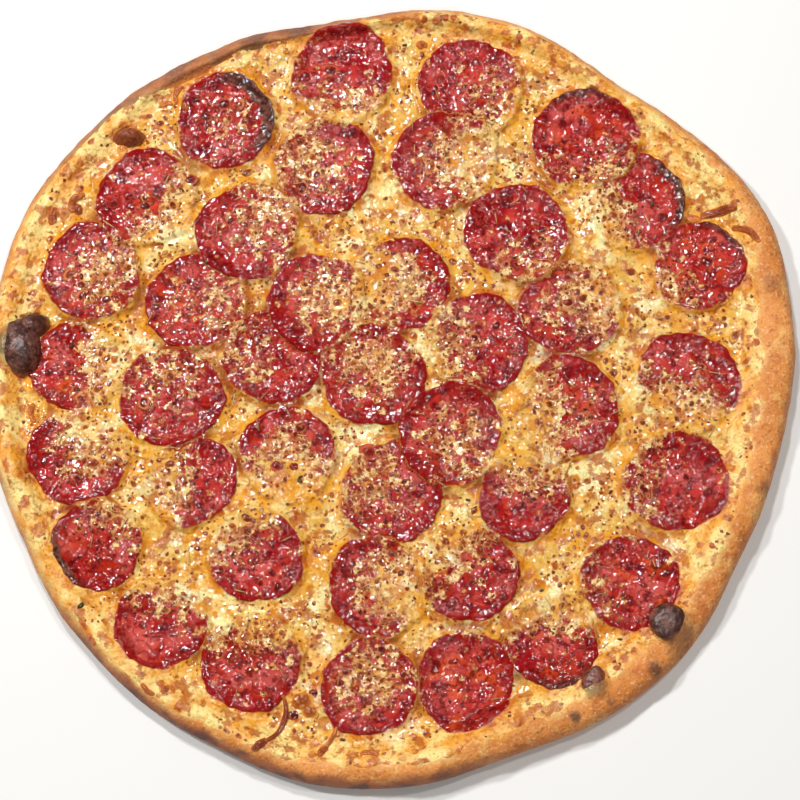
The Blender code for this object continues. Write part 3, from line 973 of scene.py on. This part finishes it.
def strewn(count, spread):
    """Numbered random places in a circle."""
    for k in range(count):
        reach = spread * math.sqrt(draw.uniform(0, 1))
        angle = draw.uniform(0, 2 * math.pi)
        yield k, reach * math.cos(angle), reach * math.sin(angle)


def herbs(name, shape, rows):
    """One piece from rows of matrix, place and tint."""
    turns, spots, tints = (np.array(column) for column in zip(*rows))
    return scatter(name, shape, (turns, spots), "cheese", dict(tint=tints))


rows = []
for k, px, py in strewn(FLAKES, 150):
    size, turn_by, lean, tint = draw.uniform((0.25, 0, -0.5, 0), (0.7, 6.28, 0.5, 1))
    size = 1.9 * size if k % 5 == 0 else size
    if k < len(LEAVES):
        px, py, size, turn_by = LEAVES[k]
    high, slope, on = surface(px, py)
    shape = lying(slope, turn_by, (size, size * 0.55, 0.14), lean)
    rows.append((shape, (px, py, high + 0.22), tint))
flake = bmesh.new()
bmesh.ops.create_icosphere(flake, subdivisions=1, radius=1.0)
flake_piece = herbs("herb_flakes", flake, rows)
rows = []
for k, px, py in strewn(STEMS, 140):
    high, slope, on = surface(px, py)
    if on == "crust":
        continue
    long, thin, turn_by, lean, tint = draw.uniform((1.4, 0.16, 0, -0.12, 0), (3.2, 0.3, 6.28, 0.12, 1))
    rows.append((lying(slope, turn_by, (long, thin, thin), lean, "Y"), (px, py, high + 0.35), tint))
stem = bmesh.new()
bmesh.ops.create_cone(stem, cap_ends=True, segments=6, radius1=1.0, radius2=0.75, depth=2.0)
bmesh.ops.rotate(stem, verts=stem.verts, cent=(0, 0, 0), matrix=Matrix.Rotation(math.pi / 2, 3, "Y"))
stem_piece = herbs("herb_stems", stem, rows)

# %% [markdown]
# ## Materials
# Food gets its look from three things: colour that is never even, gloss that comes and goes with the oil, and
# fine bumps that break the highlights into sparkles. A few helpers keep the node trees short.


# %% Helpers for node trees
def colour(red, green, blue):
    """A colour given as 0 to 255 on screen, as the light values that Blender uses."""
    parts = [c / 255 for c in (red, green, blue)]
    return tuple(c / 12.92 if c <= 0.04045 else ((c + 0.055) / 1.055) ** 2.4 for c in parts) + (1.0,)


class Brush:
    """Adds nodes to one tree. Its methods give back the socket that holds the result."""

    def __init__(self, tree):
        self.tree = tree
        self.link = tree.links.new

    def node(self, kind, sockets=None, **settings):
        """Adds one node with its inputs set or linked, and gives back the node itself."""
        made = self.tree.nodes.new(kind)
        for key, value in settings.items():
            setattr(made, key, value)
        for key, value in (sockets or {}).items():
            if isinstance(value, bpy.types.NodeSocket):
                self.link(value, made.inputs[key])
            else:
                made.inputs[key].default_value = value
        return made

    def maths(self, kind, a, b=0.0, c=0.0):
        return self.node("ShaderNodeMath", {0: a, 1: b, 2: c}, operation=kind).outputs[0]

    def times(self, first, *others):
        for other in others:
            first = self.maths("MULTIPLY", first, other)
        return first

    def lay(self, under, top, *shares):
        """Lays one colour over another by the product of its masks and strengths."""
        under, top = (colour(*c) if isinstance(c, tuple) else c for c in (under, top))
        sockets = {0: self.times(*shares), 6: under, 7: top}
        return self.node("ShaderNodeMix", sockets, data_type="RGBA").outputs[2]

    def clouds(self, look, *rows):
        """Lays cloudy patches over a look, one row after another: what mottle takes, strength, colour."""
        for *cloud, strength, top in rows:
            look = self.lay(look, top, self.mottle(*cloud), strength)
        return look

    def ramp(self, value, low, high, to_low=0.0, to_high=1.0):
        sockets = {"Value": value, "From Min": low, "From Max": high, "To Min": to_low, "To Max": to_high}
        return self.node("ShaderNodeMapRange", sockets, interpolation_type="SMOOTHSTEP").outputs[0]

    def mask(self, name):
        return self.node("ShaderNodeAttribute", attribute_name=name).outputs["Fac"]

    def shift(self, where, by):
        return self.node("ShaderNodeVectorMath", {0: where, 1: by}, operation="ADD").outputs[0]

    def place(self, seed=0.0):
        """The point on the piece, moved by the seed so that patterns differ."""
        where = self.node("ShaderNodeTexCoord").outputs["Object"]
        return self.shift(where, (seed, 0.7 * seed, -0.4 * seed)) if seed else where

    def noise(self, where, scale, detail, **sockets):
        sockets = {"Vector": where, "Scale": scale, "Detail": detail, **sockets}
        return self.node("ShaderNodeTexNoise", sockets).outputs

    def mottle(self, size, seed, low=0.4, high=0.6, detail=1.5):
        """Cloudy patches, size millimetres across."""
        fac = self.noise(self.place(seed), 1000 / size, detail, Roughness=0.6)["Fac"]
        return self.ramp(fac, low, high)

    def spots(self, where, size, wide, narrow, share):
        """Round spots on a loose grid, of which only a share is kept."""
        made = self.node("ShaderNodeTexVoronoi", {"Vector": where, "Scale": 1000 / size})
        red = self.node("ShaderNodeSeparateColor", {0: made.outputs["Color"]}).outputs[0]
        kept = self.maths("LESS_THAN", red, share)
        return self.times(self.ramp(made.outputs["Distance"], wide, narrow), kept)

    def dots(self, size, seed, wide=0.3, share=0.5):
        return self.spots(self.place(seed), size, wide, wide * 0.45, share)

    def blobs(self, size, seed, wide=0.35, share=0.5):
        """Ragged spots: the places of the dots, pushed about by noise."""
        where = self.place(seed)
        push = self.noise(where, 1600 / size, 1.0)["Color"]
        sockets = {0: push, "Scale": 0.55 * size * MM}
        push = self.node("ShaderNodeVectorMath", sockets, operation="SCALE").outputs[0]
        return self.spots(self.shift(where, push), size, wide, wide * 0.6, share)

    def creases(self, size, seed):
        """Thin wandering lines, where cloudy noise passes its middle value."""
        fac = self.noise(self.place(seed), 1000 / size, 2.0)["Fac"]
        return self.ramp(self.maths("ABSOLUTE", self.maths("SUBTRACT", fac, 0.5)), 0.028, 0.008)


def new_material(name, meshes, **values):
    """A new material on some meshes. Gives back a brush for its tree, and its shader's inputs."""
    made = bpy.data.materials.new(name)
    made.use_nodes = True
    inputs = made.node_tree.nodes["Principled BSDF"].inputs
    for key, value in values.items():
        inputs[key.replace("_", " ")].default_value = value
    for mesh in meshes:
        mesh.materials.append(made)
    return Brush(made.node_tree), inputs


def new_group(name, inputs, outputs):
    """A new node group. Gives it back with a brush, the sockets that feed it and those that it fills."""
    made = bpy.data.node_groups.new(name, "ShaderNodeTree")
    for way, sockets in (("INPUT", inputs), ("OUTPUT", outputs)):
        for label, kind in sockets.items():
            made.interface.new_socket(name=label, in_out=way, socket_type="NodeSocket" + kind)
    new_node = made.nodes.new
    return made, Brush(made), new_node("NodeGroupInput").outputs, new_node("NodeGroupOutput").inputs


# %% Sparkle: the fine bumps that cheese, sausage and crust share
sparkle, t, given, result = new_group(
    "fine_bumps",
    dict(Size="Float", Coarse="Float", Patch="Float", Calm="Float"),
    dict(Height="Float", Roughness="Float"),
)
scale = t.maths("DIVIDE", 1000.0, given["Size"])
fine = t.noise(t.place(), scale, 0.0)["Fac"]
broad = t.noise(t.place(0.3), t.times(scale, 0.45), 0.0)["Fac"]
total = t.maths("ADD", fine, t.times(broad, given["Coarse"]))
patches = t.noise(t.place(0.9), t.maths("DIVIDE", 1000.0, given["Patch"]), 1.0)["Fac"]
rough_here = t.ramp(patches, 0.42, 0.6)
sockets = {"Value": rough_here, "To Min": given["Calm"], "To Max": 1.0}
amount = t.node("ShaderNodeMapRange", sockets).outputs[0]
t.link(t.times(total, amount), result["Height"])
t.link(t.ramp(rough_here, 0.0, 1.0, 0.1, 0.06), result["Roughness"])


def bumps(t, inputs, size, coarse, depth, patch=9.0, calm=0.2):
    """Adds the shared fine bumps to a material, depth in millimetres, and gives back their roughness."""
    sockets = dict(Size=size, Coarse=coarse, Patch=patch, Calm=calm)
    group = t.node("ShaderNodeGroup", sockets, node_tree=sparkle).outputs
    bump = t.node("ShaderNodeBump", {"Height": group["Height"], "Distance": depth * MM})
    t.link(bump.outputs[0], inputs["Normal"])
    return group["Roughness"]


# %% [markdown]
# ## Sausage and the cheese on it
# The sausage shows through the thin cheese that ran over it. So its colour, and the way the cheese breaks up
# on it, are two node groups, and the cheese and the slices both use them: no seam shows where one ends.

# %% The sausage's colour
sausage, t, given, result = new_group(
    "sausage_colour", dict(Edge="Float", Fat="Float", Tone="Float"), dict(Colour="Color")
)
look = t.lay((152, 8, 12), (192, 52, 44), t.mottle(9, 1.7))
# Pink clouds: painted sheen, a soft reflection of the light painted into the sausage's colour.
look = t.clouds(look, (13, 6.4, 0.48, 0.62, 0.8, (208, 92, 86)))
look = t.lay(look, (164, 32, 16), given["Tone"], 0.3)
look = t.lay(look, (216, 84, 22), given["Fat"], t.mottle(7, 3.9, 0.4, 0.6, 3))
look = t.lay(look, (126, 0, 2), t.ramp(given["Edge"], 0.6, 0.92), t.mottle(10, 5.3, 0.36, 0.52), 0.8)
look = t.clouds(look, (6, 2.9, 0.52, 0.62, 3, 0.85, (94, 0, 6)))
grainy = t.mottle(12, 2.3, 0.42, 0.58)
# Pale specks: partly fat, partly painted highlights.
look = t.lay(look, (222, 108, 92), t.mottle(1.5, 3.1, 0.52, 0.68, 1), grainy, 0.5)
look = t.lay(look, (96, 0, 4), t.mottle(1.5, 9.4, 0.52, 0.68, 1), grainy, 0.6)
# Pale flecks: painted highlights, small sparkles painted into the colour.
look = t.lay(look, (246, 176, 160), t.dots(1.6, 4.2, 0.3, 0.25), t.mottle(8, 8.1, 0.46, 0.6), 0.5)
look = t.lay(look, (96, 2, 6), t.creases(11, 7.7), 0.5)
wavy_edge = t.maths("ADD", given["Edge"], t.times(t.mottle(3, 8.8, 0.3, 0.7), 0.09))
look = t.lay(look, (142, 8, 4), t.ramp(wavy_edge, 0.9, 1.0), 0.85)
t.link(look, result["Colour"])

# %% The way cheese breaks up on it
FILM_LIMIT = 0.575
LIMIT_PER_COVER = -0.26
broken, t, given, result = new_group(
    "cheese_over_sausage", dict(Sausage="Color", Cover="Float"), dict(Colour="Color")
)
cloud = t.noise(t.place(9.7), 210.0, 3.0, Roughness=0.6)["Fac"]
limit = t.maths("MULTIPLY_ADD", given["Cover"], LIMIT_PER_COVER, FILM_LIMIT)
above = t.maths("SUBTRACT", cloud, limit)
film = t.lay((238, 204, 138), (208, 146, 84), t.mottle(6, 2.2, 0.42, 0.6))
film = t.clouds(
    film,
    (5, 4.7, 0.46, 0.6, 3, 0.7, (176, 84, 34)),
    (1.4, 6.2, 0.52, 0.62, 1, 0.7, (126, 44, 14)),
)
# Pale flecks on the film: painted highlights, small sparkles painted into the colour.
film = t.lay(film, (255, 240, 205), t.dots(1.5, 7.1, 0.34, 0.3), 0.7)
look = t.lay(given["Sausage"], (168, 60, 38), t.ramp(above, -0.12, 0.0, 0.0, 0.5))
look = t.lay(look, film, t.ramp(above, -0.02, 0.045))
t.link(look, result["Colour"])


def meat_and_film(t):
    """The sausage's colour with the broken film over it, from the masks painted on a mesh."""
    sockets = dict(Edge=t.mask("edge"), Fat=t.mask("fat"), Tone=t.mask("tone"))
    meat = t.node("ShaderNodeGroup", sockets, node_tree=sausage).outputs[0]
    sockets = dict(Sausage=meat, Cover=t.mask("cover"))
    return t.node("ShaderNodeGroup", sockets, node_tree=broken).outputs[0]


# %% Cheese
t, inputs = new_material("melted_cheese", [cheese_mesh], Specular_IOR_Level=0.42)
edge, cover, buried = t.mask("edge"), t.mask("cover"), t.mask("buried")
look = t.lay((222, 170, 76), (242, 232, 162), t.mask("cream"))
look = t.lay(look, (230, 150, 22), t.mask("oily"), 0.8)
look = t.lay(look, (246, 244, 206), t.mottle(9, 5.9, 0.5, 0.62, 3), t.mask("cream"), 0.7)
glaze = t.lay((246, 216, 132), (232, 160, 62), t.mottle(12, 1.1, 0.42, 0.58))
look = t.lay(look, glaze, t.mask("toward_rim"))
look = t.clouds(look, (4, 8.2, 0.5, 0.62, 0.5, (246, 214, 132)), (6, 3.3, 0.5, 0.59, 4, 0.8, (178, 84, 24)))
toasted = t.mottle(15, 7.9, 0.42, 0.58, 3)
look = t.lay(look, (176, 84, 28), toasted, t.blobs(4.4, 5.3, 0.45, 0.45))
look = t.lay(look, (116, 42, 14), toasted, t.blobs(2.6, 5.3, 0.38, 0.45))
look = t.lay(look, (234, 156, 22), t.ramp(edge, 1.45, 1.12), t.mottle(9, 4.3, 0.46, 0.6), 0.65)
open_edge = t.times(t.ramp(edge, 1.3, 1.0), t.ramp(buried, 0.0, 0.8, 1.0, 0.0))
look = t.lay(look, (196, 90, 28), open_edge, t.mottle(7, 6.6, 0.46, 0.6, 3), 0.6)
# Painted shade: dark red-brown in the crevice beside each slice's edge.
look = t.lay(look, (124, 34, 12), t.mask("crevice"), 0.85)
film = t.lay(meat_and_film(t), (136, 42, 22), t.blobs(3.8, 1.9, 0.42, 0.55), 0.8)
film = t.lay(film, (84, 14, 6), t.blobs(2.3, 6.9, 0.36, 0.5), 0.9)
patchy = t.maths("ADD", cover, t.times(t.mottle(4, 5.2, 0.3, 0.7, 3), 0.5))
thick = t.ramp(t.maths("ADD", t.times(buried, 0.3), patchy), 0.95, 1.4)
thin = t.maths("SUBTRACT", 1.0, t.times(thick, 0.85))
look = t.lay(look, film, t.ramp(edge, 1.035, 0.985), thin)
look = t.clouds(look, (1.3, 9.3, 0.56, 0.68, 1, 0.35, (140, 66, 22)))
look = t.lay(look, (56, 42, 18), t.dots(2.4, 4.4, 0.2, 0.035))
t.link(look, inputs["Base Color"])
gloss = bumps(t, inputs, 1.5, 0.9, 0.55, patch=5.0, calm=0.32)
dry = t.ramp(t.mask("toward_rim"), 0.3, 1.0, 0.0, 0.38)
t.link(t.maths("ADD", gloss, dry), inputs["Roughness"])

# %% Pepperoni
t, inputs = new_material("cured_sausage", [piece.data for piece in slice_pieces], Specular_IOR_Level=0.34)
look = t.lay(meat_and_film(t), (98, 2, 6), t.blobs(3.4, 4.9, 0.4, 0.2), 0.6)
charred_edge = t.lay((64, 30, 24), (116, 70, 56), t.mottle(3, 1.3))
look = t.lay(look, charred_edge, t.ramp(t.mask("burnt"), 0.42, 0.66))
t.link(look, inputs["Base Color"])
t.link(bumps(t, inputs, 1.5, 0.9, 0.55, patch=5.0, calm=0.32), inputs["Roughness"])

# %% Blisters
t, inputs = new_material("browned_blister", [piece.data for piece in blister_pieces], Specular_IOR_Level=0.42)
tint, crown = t.mask("tint"), t.mask("crown")
meaty = t.ramp(t.mask("meaty"), 0.0, 0.5)
brim = t.lay((224, 158, 74), (206, 122, 78), meaty)
brim = t.lay(brim, (184, 56, 50), t.ramp(t.mask("meaty"), 0.5, 1.0))
side = t.lay(t.lay((176, 90, 30), (126, 52, 16), tint), t.lay((146, 44, 26), (100, 14, 10), tint), meaty)
top = t.lay(t.lay((146, 66, 24), (92, 32, 8), tint), t.lay((124, 26, 16), (76, 6, 6), tint), meaty)
look = t.lay(brim, side, t.ramp(crown, 0.02, 0.6))
look = t.lay(look, top, t.ramp(crown, 0.6, 0.95))
look = t.lay(look, brim, t.mottle(2.0, 5.1, 0.5, 0.66), 0.5)
t.link(look, inputs["Base Color"])
t.link(bumps(t, inputs, 1.6, 0.4, 0.16, calm=0.6), inputs["Roughness"])

# %% Herbs
t, inputs = new_material("dried_leaf", [flake_piece.data], Roughness=0.6)
look = t.lay((58, 46, 20), (124, 106, 52), t.mask("tint"))
t.link(t.lay(look, (28, 22, 14), t.mottle(0.5, 1.0)), inputs["Base Color"])
t, inputs = new_material("dried_stem", [stem_piece.data], Roughness=0.5)
look = t.lay((226, 196, 128), (170, 124, 62), t.mask("tint"))
t.link(t.lay(look, (150, 100, 50), t.mottle(0.8, 1.0), 0.5), inputs["Base Color"])

# %% Toasted drips
t, inputs = new_material("toasted_cheese", [drips_mesh], Specular_IOR_Level=0.3, Roughness=0.2)
look = t.lay((238, 182, 92), (204, 116, 54), t.ramp(t.mask("dark"), 0.0, 0.4))
look = t.lay(look, (128, 54, 34), t.ramp(t.mask("dark"), 0.4, 0.95))
look = t.clouds(look, (2.2, 4.1, 0.5, 0.64, 0.5, (166, 84, 44)))
t.link(look, inputs["Base Color"])
bumps(t, inputs, 1.6, 0.5, 0.4, calm=0.5)

# %% Crust
t, inputs = new_material("baked_dough", [crust_mesh], Specular_IOR_Level=0.3)
look = t.lay((226, 148, 76), (210, 128, 58), t.mottle(24, 1.2, 0.36, 0.64))
look = t.clouds(
    look,
    (9, 2.4, 0.48, 0.66, 4, 0.6, (188, 104, 46)),
    (12, 3.6, 0.52, 0.66, 4, 0.6, (238, 184, 108)),
    (1.6, 5.6, 0.54, 0.66, 3, 0.6, (154, 84, 42)),
    (1.4, 9.1, 0.55, 0.67, 3, 0.5, (246, 200, 146)),
)
glaze = t.lay((248, 218, 136), (236, 164, 66), t.mottle(12, 1.1, 0.42, 0.58))
glaze = t.clouds(glaze, (5, 7.7, 0.52, 0.66, 4, 0.7, (206, 124, 44)))
look = t.lay(look, glaze, t.mask("glaze"), 0.92)
look = t.lay(look, t.lay((164, 98, 64), (112, 70, 62), t.mottle(9, 6.6)), t.mask("edge_dark"))
look = t.lay(look, t.lay((84, 58, 54), (44, 30, 32), t.mottle(2.2, 8.6)), t.mask("scorch"))
look = t.lay(look, t.lay((206, 150, 92), (134, 84, 48), t.mottle(10, 9.6)), t.mask("under"), 0.8)
t.link(look, inputs["Base Color"])
t.link(t.ramp(t.mask("glaze"), 0.0, 1.0, 0.6, 0.25), inputs["Roughness"])
bumps(t, inputs, 1.2, 0.5, 0.4, calm=0.7)

# %% Char
t, inputs = new_material("charred_dough", [charred_mesh], Roughness=0.38)
look = t.lay((224, 150, 68), (142, 66, 38), t.ramp(t.mask("char"), 0.05, 0.45))
black = t.lay((64, 32, 24), (112, 70, 60), t.mottle(5, 3.3))
look = t.lay(look, black, t.ramp(t.mask("char"), 0.4, 0.85))
look = t.clouds(look, (1.6, 6.1, 0.54, 0.68, 0.35, (150, 106, 92)))
look = t.lay(look, (28, 12, 10), t.creases(3.5, 2.1), 0.6)
t.link(look, inputs["Base Color"])
bumps(t, inputs, 1.6, 0.6, 0.35, calm=1.0)
print("materials:", [made.name for made in bpy.data.materials])

# %% [markdown]
# ## Table, light and camera
# The table is plain and pale. Four small lamps stand round the pizza, the two strongest to the left and the
# top: a small lamp gives small hard sparkles. A faint warm sky fills the shadows.

# %% Table, light and camera
floor_shape = bmesh.new()
bmesh.ops.create_grid(floor_shape, x_segments=1, y_segments=1, size=3.0)
floor_mesh = as_mesh(floor_shape, "table_top")
table_top = bpy.data.objects.new("table_top", floor_mesh)
bpy.context.scene.collection.objects.link(table_top)
new_material("pale_table", [floor_mesh], Roughness=0.7, Base_Color=colour(232, 232, 230))
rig.stage(table_top)


def lamp(name, spot, power, size):
    light = bpy.data.lights.new(name, "AREA")
    light.energy = power
    light.size = size
    made = bpy.data.objects.new(name, light)
    made.location = spot
    made.rotation_euler = (-Vector(spot)).to_track_quat("-Z", "Y").to_euler()
    bpy.context.scene.collection.objects.link(made)


lamp("left_window", (-0.75, 0.35, 1.3), 10.8, 0.13)
lamp("top_window", (-0.25, 0.75, 1.35), 10.6, 0.13)
lamp("second_window", (0.5, 0.3, 1.5), 4.8, 0.12)
lamp("low_window", (0.2, -0.7, 1.4), 4.0, 0.12)
world = bpy.data.worlds.new("pale_sky")
world.use_nodes = True
sky = world.node_tree.nodes["Background"].inputs
sky["Color"].default_value = (1.0, 0.95, 0.88, 1.0)
sky["Strength"].default_value = 0.15
bpy.context.scene.world = world
bpy.context.scene.view_settings.view_transform = "Standard"

ELEVATION = math.radians(76)
SIDEWAYS = math.radians(10)
DISTANCE = 1.0
LOOK_AT = Vector((0.0048, -0.0064, 0.008))
flat = math.cos(ELEVATION)
back = Vector((math.sin(SIDEWAYS) * flat, -math.cos(SIDEWAYS) * flat, math.sin(ELEVATION)))
right = Vector((0, 1, 0)).cross(back).normalized()
up = back.cross(right)
eye = LOOK_AT + back * DISTANCE
camera = bpy.data.objects.new("camera", bpy.data.cameras.new("camera"))
camera.matrix_world = Matrix.Translation(eye) @ Matrix((right, up, back)).transposed().to_4x4()
camera.data.lens = 109.9
camera.data.clip_start = 0.05
bpy.context.scene.collection.objects.link(camera)
bpy.context.scene.camera = camera

# %% Measure and finish
with open("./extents.json", "w") as out:
    json.dump({"plain": cad_box, "dressed": [list(map(float, c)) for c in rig.bounds()]}, out)
print("boxes:", open("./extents.json").read())
